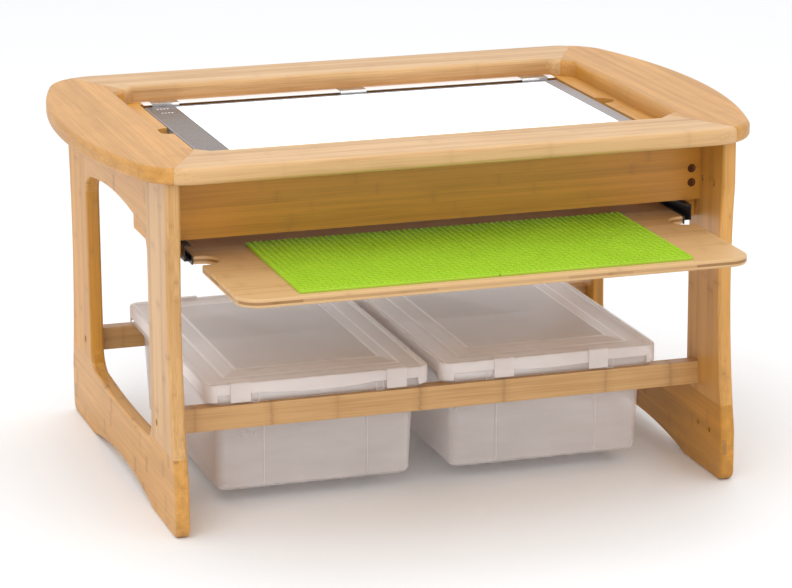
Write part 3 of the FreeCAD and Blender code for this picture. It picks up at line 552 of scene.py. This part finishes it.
def stud_group():
    """Square field of round studs with eased tops."""
    group = Group("stud_field", takes_mesh=False)
    pitch, count = group.take("Pitch", "Float"), group.take("Studs", "Int")
    radius, height = group.take("Radius", "Float"), group.take("Height", "Float")
    ease, corner = group.take("Ease", "Float"), group.take("First stud", "Vector")
    material = group.take("Material", "Material")
    post = group.node("GeometryNodeMeshCylinder", {
        "Vertices": 12, "Side Segments": 1, "Radius": radius,
        "Depth": group.number("ShaderNodeMath", {0: height, 1: ease}, operation="SUBTRACT")})
    crown = group.node("GeometryNodeExtrudeMesh", {
        "Mesh": post.outputs["Mesh"], "Selection": post.outputs["Top"], "Offset Scale": ease})
    narrow = group.node("GeometryNodeScaleElements", {
        "Geometry": crown.outputs["Mesh"], "Selection": crown.outputs["Top"], "Scale": 0.87})
    span = Number(group, pitch) * (Number(group, count) - 1.0)
    grid = group.node("GeometryNodeMeshGrid", {
        "Size X": span, "Size Y": span, "Vertices X": count, "Vertices Y": count})
    half = span * 0.5
    lift = group.node("ShaderNodeCombineXYZ", {0: half, 1: half, 2: (Number(group, height) - ease) * 0.5})
    shift = group.node("ShaderNodeVectorMath", {0: lift.outputs[0], 1: corner}, operation="ADD")
    moved = group.node("GeometryNodeTransform", {"Geometry": grid.outputs["Mesh"],
                                                 "Translation": shift.outputs[0]})
    field = group.node("GeometryNodeInstanceOnPoints", {
        "Points": moved.outputs[0], "Instance": narrow.outputs[0]})
    group.close(field.outputs[0], material)
    return group


def fastener_group():
    """One shape set on every vertex, facing its own way out, with a seeded twist."""
    group = Group("fasteners", takes_mesh=True)
    shape, seed = group.take("Shape", "Object"), group.take("Seed", "Int")
    size, material = group.take("Size", "Float"), group.take("Material", "Material")
    out = group.node("GeometryNodeInputNamedAttribute", {"Name": "out"}, data_type="FLOAT_VECTOR")
    face = group.node("FunctionNodeAlignRotationToVector", {"Vector": out.outputs[0]}, axis="Z")
    twist = group.node("FunctionNodeRandomValue", {2: 0.0, 3: math.tau, "Seed": seed}, data_type="FLOAT")
    spin = group.node("FunctionNodeAxisAngleToRotation", {"Axis": (0.0, 0.0, 1.0), "Angle": twist.outputs[1]})
    turn = group.node("FunctionNodeRotateRotation", {
        "Rotation": face.outputs[0], "Rotate By": spin.outputs[0]}, rotation_space="LOCAL")
    info = group.node("GeometryNodeObjectInfo", {"Object": shape})
    copies = group.node("GeometryNodeInstanceOnPoints", {
        "Points": group.source.outputs["Places"], "Instance": info.outputs["Geometry"],
        "Rotation": turn.outputs[0], "Scale": size})
    group.close(copies.outputs[0], material)
    return group


def set_fasteners(name, shape, places, size, seed, finish):
    """Copies of a shape at (point, outward direction) places, as one mesh."""
    points = bpy.data.meshes.new(name + "_places")
    points.from_pydata([tuple(point) for point, _out in places], [], [])
    outs = points.attributes.new("out", "FLOAT_VECTOR", "POINT")
    for i, (_point, out) in enumerate(places):
        outs.data[i].vector = out
    holder = linked(name + "_shape", shape)
    made = fastener_group().run(name, points, Shape=holder, Seed=seed, Size=size, Material=finish)
    bpy.data.objects.remove(holder)
    return made


def disc(radius, z, sides=24, flat=0):
    """Circle, or a polygon of `flat` sides with the same number of points."""
    points = []
    for i in range(sides):
        turn = math.tau * i / sides
        reach = radius
        if flat:
            half = math.pi / flat
            reach = radius * math.cos(half) / math.cos((turn % (2 * half)) - half)
        points.append(Vector((reach * math.cos(turn), reach * math.sin(turn), z)))
    return points


def socket_head(name, radius, deep, socket, recess, crown=0.0004):
    """Round head with an eased rim and a hexagon socket; its face is at z = 0."""
    return smooth(loft(name, [
        disc(radius, -deep), disc(radius, -crown), disc(radius - crown, 0.0),
        disc(socket * 1.12, 0.0), disc(socket, -0.0002, flat=6), disc(socket, -recess, flat=6)]), 40.0)


# ---------------------------------------------------------------- operators

class BoardOperator(bpy.types.Operator):
    """Dress every wooden board in pressed bamboo with eased edges"""

    bl_idname = "light_table.boards"
    bl_label = "Bamboo Boards"

    def execute(self, context):
        s = context.scene.bamboo_settings
        fine, soft = s.ease * 0.16, s.ease
        low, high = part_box("shelf_board")
        ply = (high.z - low.z) / 3
        top_x = bamboo("bamboo_top_long", "XYZ", depth=0.12, knots=0.18, amber=0.06)
        top_y = bamboo("bamboo_top_end", "YXZ", depth=0.42, knots=0.18, amber=0.74)
        legs = {}
        # Painted shade, in part: the rear and right-hand legs, the right foot and the apron stand in the
        # table's shade, and their depth and amber values are set darker and more golden to match it; the rest
        # is the boards' own tone.
        for place, ambers, depth in (("front", (0.26, 0.66), 0.04), ("rear", (0.95, 0.95), 0.26)):
            for side, amber in zip(SIDES, ambers):
                key = place + "_" + side
                legs[key] = bamboo("bamboo_leg_" + key, "ZYX", ply=LAMINATE, depth=depth, knots=0.5,
                                   amber=amber)
        foot = {side: bamboo("bamboo_foot_" + side, "YZX", ply=LAMINATE, shift=0.4, depth=depth,
                             knots=0.75, amber=amber)
                for side, amber, depth in zip(SIDES, (0.70, 1.0), (0.16, 0.52))}
        apron = bamboo("bamboo_apron", "XZY", depth=0.02, knots=0.3, amber=0.95, strip=0.0155)
        rail = bamboo("bamboo_rail", "XZY", depth=0.02, knots=0.62, amber=0.2, strip=0.30, pitch=0.112)
        shelf = bamboo("bamboo_shelf", "XYZ", ply=ply, shift=-1.0 - low.z / ply, depth=-0.26,
                       knots=0.25, core=True)
        seat = bamboo("bamboo_seat", "YXZ", shift=0.2, depth=0.22, knots=0.2, amber=0.65)
        boards = [("top_rail_front", top_x, fine), ("top_rail_back", top_x, fine),
                  ("top_end_left", top_y, fine), ("top_end_right", top_y, fine),
                  ("apron_front", apron, fine * 2), ("apron_back", apron, fine * 2),
                  ("lower_rail_front", rail, soft), ("lower_rail_back", rail, soft),
                  ("panel_cleat_front", apron, soft), ("panel_cleat_back", apron, soft),
                  ("shelf_board", shelf, soft)]
        for side in SIDES:
            boards += [("foot_board_" + side, foot[side], fine), ("gusset_" + side, foot[side], fine),
                       ("leg_front_" + side, legs["front_" + side], fine),
                       ("leg_rear_" + side, legs["rear_" + side], fine),
                       ("panel_ledge_" + side, seat, fine * 3), ("slide_spacer_" + side, apron, soft)]
        slots = {row["node"]: row["material_slot"] for row in frame["record"]["subparts"]}
        for node, finish, ease in boards:
            body = "shelf" if node == "shelf_board" else "table"
            place_piece(node + "_wood", eased(node, ease), body, slots[node], finish, node)
        return {"FINISHED"}


class FixingOperator(bpy.types.Operator):
    """Set the cross nuts of the aprons and the bolts of the lower rails"""

    bl_idname = "light_table.fixings"
    bl_label = "Bolts and Cross Nuts"

    def execute(self, context):
        bronze = metal("dark_bronze", (0.20, 0.085, 0.04), 0.38, "Z", tone=0.35)
        low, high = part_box("apron_nuts")
        nut = 0.0058
        places = []
        for y, out in ((low.y, (0, -1, 0)), (high.y, (0, 1, 0))):
            places += [((x, y, z), out) for x in (low.x + nut, high.x - nut)
                       for z in (low.z + nut, high.z - nut)]
        head = socket_head("cross_nut", nut - 0.0001, 0.011, 0.0026, 0.0022)
        place_piece("cross_nuts", set_fasteners("cross_nuts", head, places, 1.0, 11, bronze),
                    "table", "bolt_bronze", bronze, "apron_nuts")
        brass = metal("aged_brass", (0.52, 0.36, 0.15), 0.34, "Z", tone=0.45)
        for side, sign in OUTWARD:
            low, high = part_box("rail_bolts_" + side)
            radius = (high.z - low.z) / 2
            face = (low.x if sign < 0 else high.x) - sign * 0.0009
            places = [((face, y, (low.z + high.z) / 2), (sign, 0, 0))
                      for y in (low.y + radius, high.y - radius)]
            shape = joined("bolt_shape", socket_head("bolt", radius - 0.0004, 0.0022, 0.0024, 0.0016),
                           smooth(loft("shank", [disc(0.0029, -0.045, 12), disc(0.0029, -0.0022, 12)])))
            place_piece("rail_bolts_" + side + "_heads",
                        set_fasteners("rail_bolts_" + side, shape, places, 1.0, 23, brass),
                        "table", "bolt_bronze", brass, "rail_bolts_" + side)
        return {"FINISHED"}


class StudOperator(bpy.types.Operator):
    """Mould the two stud plates that lie on the shelf"""

    bl_idname = "light_table.stud_plates"
    bl_label = "Stud Plates"

    def execute(self, context):
        s = context.scene.stud_settings
        lime = plastic("lime_plastic", tuple(s.tint), 0.30, wear=0.14, relief=0.06, Coat_Weight=0.15,
                       Coat_Roughness=0.2)
        field = stud_group()
        for side in SIDES:
            low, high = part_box("stud_plate_" + side)
            middle, half = centre(low, high), (high - low) / 2
            seam, ease = 0.00015, 0.0004
            rows = [(seam + ease, low.z), (seam, low.z + ease), (seam, high.z - ease), (seam + ease, high.z)]
            plate = smooth(loft("plate", [
                ring(middle, (half.x - inset, half.y - inset), s.corner, z) for inset, z in rows]))
            pitch = (high.x - low.x) / s.studs
            first = (low.x + pitch / 2, low.y + pitch / 2, high.z - 0.0001)
            studs = field.run("studs", bpy.data.meshes.new("empty"), Pitch=pitch, Studs=s.studs,
                              Radius=s.radius, Height=s.height, Ease=0.0003, First_stud=first,
                              Material=lime)
            mesh = smooth(joined("stud_plate_" + side, plate, studs), 35.0)
            place_piece("building_plate_" + side, mesh, "shelf", "stud_green", lime, "stud_plate_" + side)
        return {"FINISHED"}


class SlideOperator(bpy.types.Operator):
    """Fold the steel channels and the black runners of the shelf"""

    bl_idname = "light_table.slides"
    bl_label = "Shelf Slides"

    def execute(self, context):
        zinc = metal("zinc_plate", (0.66, 0.67, 0.69), 0.30, "Y")
        black = plastic("black_enamel", (0.012, 0.012, 0.013), 0.34, wear=0.2, relief=0.05)
        for side, sign in OUTWARD:
            node = "slide_channel_" + side
            low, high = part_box(node)
            screws = [((high.x - 0.0016 if sign > 0 else low.x + 0.0016,
                        low.y + (high.y - low.y) * part, (low.z + high.z) / 2), (-sign, 0, 0))
                      for part in (0.14, 0.5, 0.86)]
            head = socket_head("pan_head", 0.0034, 0.0004, 0.0014, 0.0004, crown=0.0002)
            mesh = joined(node, eased(node, 0.0004, 2), set_fasteners("screws", head, screws, 1.0, 5, zinc))
            place_piece(node + "_steel", smooth(mesh), "table", "slide_steel", zinc, node)
            node = "slide_runner_" + side
            place_piece(node + "_steel", eased(node, 0.0004, 2), "shelf", "runner_steel", black, node)
        return {"FINISHED"}


class PanelOperator(bpy.types.Operator):
    """Finish the light panel, its control strip and the retainer behind it"""

    bl_idname = "light_table.light_panel"
    bl_label = "Light Panel"

    def execute(self, context):
        s = context.scene.panel_settings
        grey = plastic("case_plastic", (0.30, 0.30, 0.31), 0.5)
        rim = plastic("bezel_plastic", (0.27, 0.255, 0.265), 0.32)
        strip = plastic("control_plastic", tuple(s.strip), 0.28, wear=0.2, relief=0.02,
                        Specular_IOR_Level=0.2)
        white = plastic("white_plastic", (0.86, 0.86, 0.85), 0.35)
        clear = plastic("clear_guide", (0.88, 0.92, 0.94), 0.12, Alpha=0.6)
        lamp = plastic("lamp_board", (0.80, 0.79, 0.70), 0.4)
        steel = metal("spring_steel", (0.72, 0.72, 0.72), 0.22, "X")
        opal = glowing("opal_sheet", tuple(s.tint), s.glow)
        for node, slot, finish, mesh in (
                ("panel_case", "panel_grey", grey, eased("panel_case", 0.0008, 2)),
                ("panel_bezel", "bezel_grey", rim, eased("panel_bezel", 0.0003, 2)),
                ("control_strip", "control_grey", strip, slab("control_strip", 0.0002, 0.001)),
                ("light_diffuser", "diffuser_white", opal, slab("light_diffuser", 0.0002, 0.001)),
                ("light_guide", "guide_clear", clear, slab("light_guide", 0.0003, 0.001)),
                ("led_strip", "led_board", lamp, slab("led_strip", 0.0003, 0.001))):
            place_piece(node + "_shell", mesh, "light_panel", slot, finish, node)
        low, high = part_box("touch_spots")
        radius = 0.0015
        pitch = (high.x - low.x - 2 * radius) / 3
        places = [((low.x + radius + pitch * i, y, high.z), (0, 0, 1))
                  for y in (low.y + radius, high.y - radius) for i in range(4)]
        shape = smooth(loft("touch_ring", [
            disc(radius, -0.0003), disc(radius, -0.0001), disc(radius - 0.0001, 0.0),
            disc(radius - 0.0005, 0.0), disc(radius - 0.0006, -0.0002), disc(0.0003, -0.0002),
            disc(0.0002, 0.0)]))
        place_piece("touch_rings", set_fasteners("touch_rings", shape, places, 1.0, 3, white),
                    "light_panel", "icon_white", white, "touch_spots")
        place_piece("panel_retainer_strip", slab("panel_retainer", 0.0004, 0.002), "table", "retainer_white",
                    white, "panel_retainer")
        place_piece("retainer_clip_springs", eased("retainer_clips", 0.0003, 2), "table", "clip_steel",
                    steel, "retainer_clips")
        return {"FINISHED"}


class TubOperator(bpy.types.Operator):
    """Mould the two frosted tubs with their rims, ribs and catches"""

    bl_idname = "light_table.tubs"
    bl_label = "Storage Tubs"

    RIB_AT = 0.070
    CATCH_AT = 0.084

    def execute(self, context):
        s = context.scene.bin_settings
        finish = frosted("frosted_tub", tuple(s.tint), s.tub_cover)
        for side in SIDES:
            low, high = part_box("tub_" + side)
            middle = centre(low, high)
            shell = self.shell(s, low, high, middle)
            catches = [self.catch(middle[0] + sign * self.CATCH_AT, y, way, high.z)
                       for sign in (-1, 1) for y, way in ((low.y, -1), (high.y, 1))]
            mesh = joined("tub_" + side, shell, *catches)
            place_piece("storage_tub_" + side, mesh, "bin_" + side, "bin_clear", finish, "tub_" + side)
        return {"FINISHED"}

    def shell(self, s, low, high, middle):
        rim = (high - low) / 2
        lean = math.tan(math.radians(2.5))
        foot_x, foot_y = rim.x - 0.016, rim.y - 0.020
        rim_low, wall = high.z - 0.0135, s.wall
        half = self.RIB_AT
        near = [sign * (half + step) for sign in (-1, 1) for step in (-0.0018, -0.0010, 0.0010, 0.0018)]
        more = [0.03 * i for i in range(-4, 5)]
        stops = (sorted(near + [m for m in more if min(abs(m - n) for n in near) > 0.004]),
                 [0.04 * i for i in range(-4, 5)])

        def row(inset, z, radius, rib=0.0, wide=None):
            grow = (z - low.z) * lean
            hx, hy = wide or (foot_x + grow, foot_y + grow)
            points = ring(middle, (hx - inset, hy - inset), radius, z, stops, corner=6)
            for point in points:
                off = abs(abs(point.x - middle[0]) - half)
                if rib and off < 0.0012 and abs(abs(point.y - middle[1]) - (hy - inset)) < 1e-5:
                    point.y += rib if point.y > middle[1] else -rib
            return points

        curve, out = 0.006, 0.012
        rows = []
        for i in range(6):
            turn = math.pi / 2 * i / 5
            rows.append(row(curve * (1 - math.sin(turn)) + (0.02 if i == 0 else 0.0),
                            low.z + curve * (1 - math.cos(turn)), out))
        top = rim_low - 0.0004
        rows += [row(0, low.z + 0.0072, out), row(0, low.z + 0.0084, out, s.rib),
                 row(0, (low.z + top) / 2, out, s.rib), row(0, top - 0.010, out, s.rib),
                 row(0, top - 0.0085, out), row(0, top - 0.002, out)]
        wide = (rim.x, rim.y)
        rows += [row(0.0005, rim_low, 0.016, wide=wide), row(0, rim_low + 0.0005, 0.016, wide=wide),
                 row(0, high.z - 0.0007, 0.016, wide=wide), row(0.0007, high.z, 0.016, wide=wide),
                 row(wall - 0.0005, high.z, 0.016, wide=wide), row(wall, high.z - 0.0005, 0.016, wide=wide),
                 row(wall, rim_low + wall + 0.001, 0.014, wide=wide),
                 row(wall + 0.001, rim_low + wall, 0.014, wide=wide)]
        inner = curve - wall
        rows += [row(wall - 0.001, rim_low + wall, out), row(wall, rim_low + wall - 0.001, out),
                 row(wall, (low.z + top) / 2, out), row(wall, low.z + 0.0072, out)]
        for i in range(5, -1, -1):
            turn = math.pi / 2 * i / 5
            rows.append(row(wall + inner * (1 - math.sin(turn)) + (0.02 if i == 0 else 0.0),
                            low.z + wall + inner * (1 - math.cos(turn)), out))
        return smooth(loft("tub_shell", rows), 40.0)

    def catch(self, x, y, way, top):
        """Small U-shaped catch moulded on the rim."""
        half, bar, deep = 0.0055, 0.0014, 0.0015
        low, high = top - 0.0135, top - 0.0012
        outline = [(-half, high), (-half, low), (half, low), (half, high), (half - bar, high),
                   (half - bar, low + bar), (bar - half, low + bar), (bar - half, high)]
        bm = bmesh.new()
        ends = [[bm.verts.new((x + u, y + way * step, z)) for u, z in outline]
                for step in (-0.0004, deep)]
        for i in range(len(outline)):
            j = (i + 1) % len(outline)
            bm.faces.new((ends[0][i], ends[0][j], ends[1][j], ends[1][i]))
        for end, row in enumerate(ends):
            bm.faces.new((row[0], row[1], row[6], row[7])[::1 if end else -1])
            bm.faces.new((row[1], row[2], row[5], row[6])[::1 if end else -1])
            bm.faces.new((row[2], row[3], row[4], row[5])[::1 if end else -1])
        bmesh.ops.recalc_face_normals(bm, faces=bm.faces)
        return smooth(mesh_from("catch", bm))


class LidOperator(bpy.types.Operator):
    """Mould the two lids with their raised panels, borders and snap tabs"""

    bl_idname = "light_table.lids"
    bl_label = "Tub Lids"

    RAISED = 0.003                     # raised panel above the border's lip
    EDGES = (0.0075, 0.0335, 0.0545)   # lip, border and raised panel, in from the rim
    TABS = (0.066, 0.105)              # snap tabs from the middle, narrow and wide pair

    def execute(self, context):
        s = context.scene.bin_settings
        for side, front in OUTWARD:
            low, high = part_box("lid_" + side)
            finish = frosted("frosted_lid_" + side, tuple(s.tint), s.lid_cover, (low, high),
                             self.EDGES)
            middle = centre(low, high)
            mesh = self.lid(low, high, middle)
            place_piece("tub_lid_" + side, mesh, "bin_lid_" + side, "lid_clear", finish, "lid_" + side)
            tab_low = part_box("lid_tabs_" + side)[0]
            tabs = [self.tab(middle[0] + sign * reach, (low.y, high.y)[way > 0], way,
                             high.z - self.RAISED, tab_low.z)
                    for way, reach in zip((-front, front), self.TABS) for sign in (-1, 1)]
            place_piece("snap_tabs_" + side, joined("tabs_" + side, *tabs), "bin_lid_" + side, "lid_clear",
                        finish, "lid_tabs_" + side)
        return {"FINISHED"}

    def lid(self, low, high, middle):
        half = (high - low) / 2
        top, wall = high.z - self.RAISED, 0.002
        stops = ([0.001 * x for x in (-137, -135, -120, -100, -79, -76, -60, -40, -20, 0,
                                      20, 40, 60, 76, 79, 100, 120, 135, 137)][1:-1],
                 [0.001 * y for y in (-202, -198, -150, -100, -50, 0, 50, 100, 150, 198, 202)])

        def hem(point):
            """Height of the skirt's lower edge at one place of the outline."""
            x, y = abs(point.x - middle[0]), abs(point.y - middle[1])
            if x > half.x - 0.0163 and y > half.y - 0.0173:
                return low.z - 0.006
            if y > half.y - 0.004:
                return top - 0.0148 - (0.0 if x > 0.0775 else 0.0036 * (1 - (x / 0.0775) ** 2))
            return low.z + 0.0012

        def row(inset, z, radius, skirt=None):
            points = ring(middle, (half.x - inset, half.y - inset), radius, z, stops, corner=6)
            if skirt is not None:
                for point in points:
                    point.z = hem(point) + skirt
            return points

        rows = [row(wall + 0.006, top - wall, 0.010), row(wall, top - wall - 0.0005, 0.014),
                row(wall, 0, 0.014, 0.0004), row(wall - 0.0004, 0, 0.0144, 0.0),
                row(0.0004, 0, 0.0156, 0.0), row(0, 0, 0.016, 0.0004),
                row(0, top - 0.0022, 0.016), row(0.0007, top - 0.0008, 0.0155), row(0.0022, top, 0.014),
                row(0.0058, top, 0.011), row(0.0072, top - 0.0014, 0.010), row(0.0085, top - 0.0018, 0.009),
                row(0.0325, top - 0.0018, 0.006), row(0.0345, top - 0.0012, 0.006),
                row(0.0530, top + 0.0024, 0.004), row(0.0555, top + 0.003, 0.003)]
        under = row(0.0555, top + 0.003 - wall, 0.003)
        rows = [under, row(0.0530, top + 0.0024 - wall, 0.004), row(0.0345, top - 0.0012 - wall, 0.006),
                row(0.0325, top - 0.0018 - wall, 0.006)] + rows
        return smooth(loft("lid", rows), 30.0)

    def tab(self, x, y, way, top, low):
        """Snap tab that laps over the lid's border and hangs down in front of the skirt."""
        thick, wide = 0.0022, 0.0135
        out = y + way * (thick / 2 + 0.0002)
        path = [(y - way * 0.0065, top + thick / 2), (y - way * 0.0015, top + thick / 2),
                (out - way * 0.0004, top + 0.0002), (out, top - 0.0016), (out, low + 0.006),
                (out + way * 0.0004, low + 0.0025), (out + way * 0.0012, low)]
        return ribbon("tab", path, thick, x - wide, x + wide, 0.0007)


class StageOperator(bpy.types.Operator):
    """Lay the pale floor, hang the lamps and set up the camera"""

    bl_idname = "light_table.stage"
    bl_label = "Floor, Lamps and Camera"

    def execute(self, context):
        s = context.scene.stage_settings
        self.floor(s)
        self.lamp("key", s.key, (-1.3, -1.6, 2.6), (0.0, 0.0, 0.35), 2.2)
        self.lamp("fill", s.fill, (1.8, -3.0, 1.6), (0.0, 0.0, 0.3), 2.4)
        self.lamp("top", s.key * 0.55, (0.2, 0.5, 2.8), (0.0, 0.0, 0.4), 2.0)
        world = bpy.data.worlds.new("studio")
        world.use_nodes = True
        background = world.node_tree.nodes["Background"]
        background.inputs["Color"].default_value = (1.0, 1.0, 1.0, 1.0)
        background.inputs["Strength"].default_value = s.sky
        context.scene.world = world
        context.scene.view_settings.view_transform = "Standard"
        self.camera(context, s)
        return {"FINISHED"}

    def floor(self, s):
        paint = Finish("pale_floor")
        speckle = paint.noise(8.0, 3.0)
        pale = tuple(s.floor)
        paint.surface(Base_Color=paint.mix(speckle, tuple(c * 0.99 for c in pale), pale),
                      Roughness=0.6 + speckle * 0.05)
        bm = bmesh.new()
        bmesh.ops.create_grid(bm, x_segments=8, y_segments=8, size=14.0)
        mesh = mesh_from("studio_floor", bm)
        mesh.materials.append(paint.material)
        linked("studio_floor", mesh)

    def lamp(self, name, power, place, target, size):
        light = bpy.data.lights.new(name, "AREA")
        light.energy, light.size = power, size
        obj = linked(name, light)
        obj.location = place
        obj.rotation_euler = (Vector(target) - Vector(place)).to_track_quat("-Z", "Y").to_euler()

    def camera(self, context, s):
        ahead = Vector((math.sin(s.yaw) * math.cos(s.pitch), math.cos(s.yaw) * math.cos(s.pitch),
                        -math.sin(s.pitch)))
        level = Vector((math.cos(s.yaw), -math.sin(s.yaw), 0.0))
        rise = level.cross(ahead)
        right = level * math.cos(s.roll) + rise * math.sin(s.roll)
        up = rise * math.cos(s.roll) - level * math.sin(s.roll)
        lens = bpy.data.cameras.new("camera")
        lens.sensor_width, lens.lens = 36.0, s.lens
        lens.clip_end = 50.0
        obj = linked("camera", lens)
        turn = Matrix((right, up, -ahead)).transposed().to_4x4()
        obj.matrix_world = Matrix.Translation(s.eye) @ turn
        context.scene.camera = obj


# ---------------------------------------------------------------- panel and registration

SETTINGS = {"bamboo_settings": BambooSettings, "stud_settings": StudSettings, "bin_settings": BinSettings,
            "panel_settings": PanelSettings, "stage_settings": StageSettings}
OPERATORS = (BoardOperator, FixingOperator, StudOperator, SlideOperator, PanelOperator, TubOperator,
             LidOperator, StageOperator)


class LIGHTTABLE_PT_build(bpy.types.Panel):
    """Lists the settings and the steps of the light table"""

    bl_label = "Light Table"
    bl_idname = "LIGHTTABLE_PT_build"
    bl_space_type = "VIEW_3D"
    bl_region_type = "UI"
    bl_category = "Light Table"

    def draw(self, context):
        for name, group in SETTINGS.items():
            box = self.layout.box()
            box.label(text=group.__doc__)
            for key in group.__annotations__:
                box.prop(getattr(context.scene, name), key)
        for operator in OPERATORS:
            self.layout.operator(operator.bl_idname)


def register():
    for made in (*SETTINGS.values(), *OPERATORS, LIGHTTABLE_PT_build):
        bpy.utils.register_class(made)
    for name, group in SETTINGS.items():
        setattr(bpy.types.Scene, name, PointerProperty(type=group))


def unregister():
    for name in SETTINGS:
        delattr(bpy.types.Scene, name)
    for made in reversed((*SETTINGS.values(), *OPERATORS, LIGHTTABLE_PT_build)):
        bpy.utils.unregister_class(made)


def main():
    register()
    for operator in OPERATORS:
        getattr(bpy.ops.light_table, operator.bl_idname.split(".")[1])()


if __name__ == "__main__":
    main()
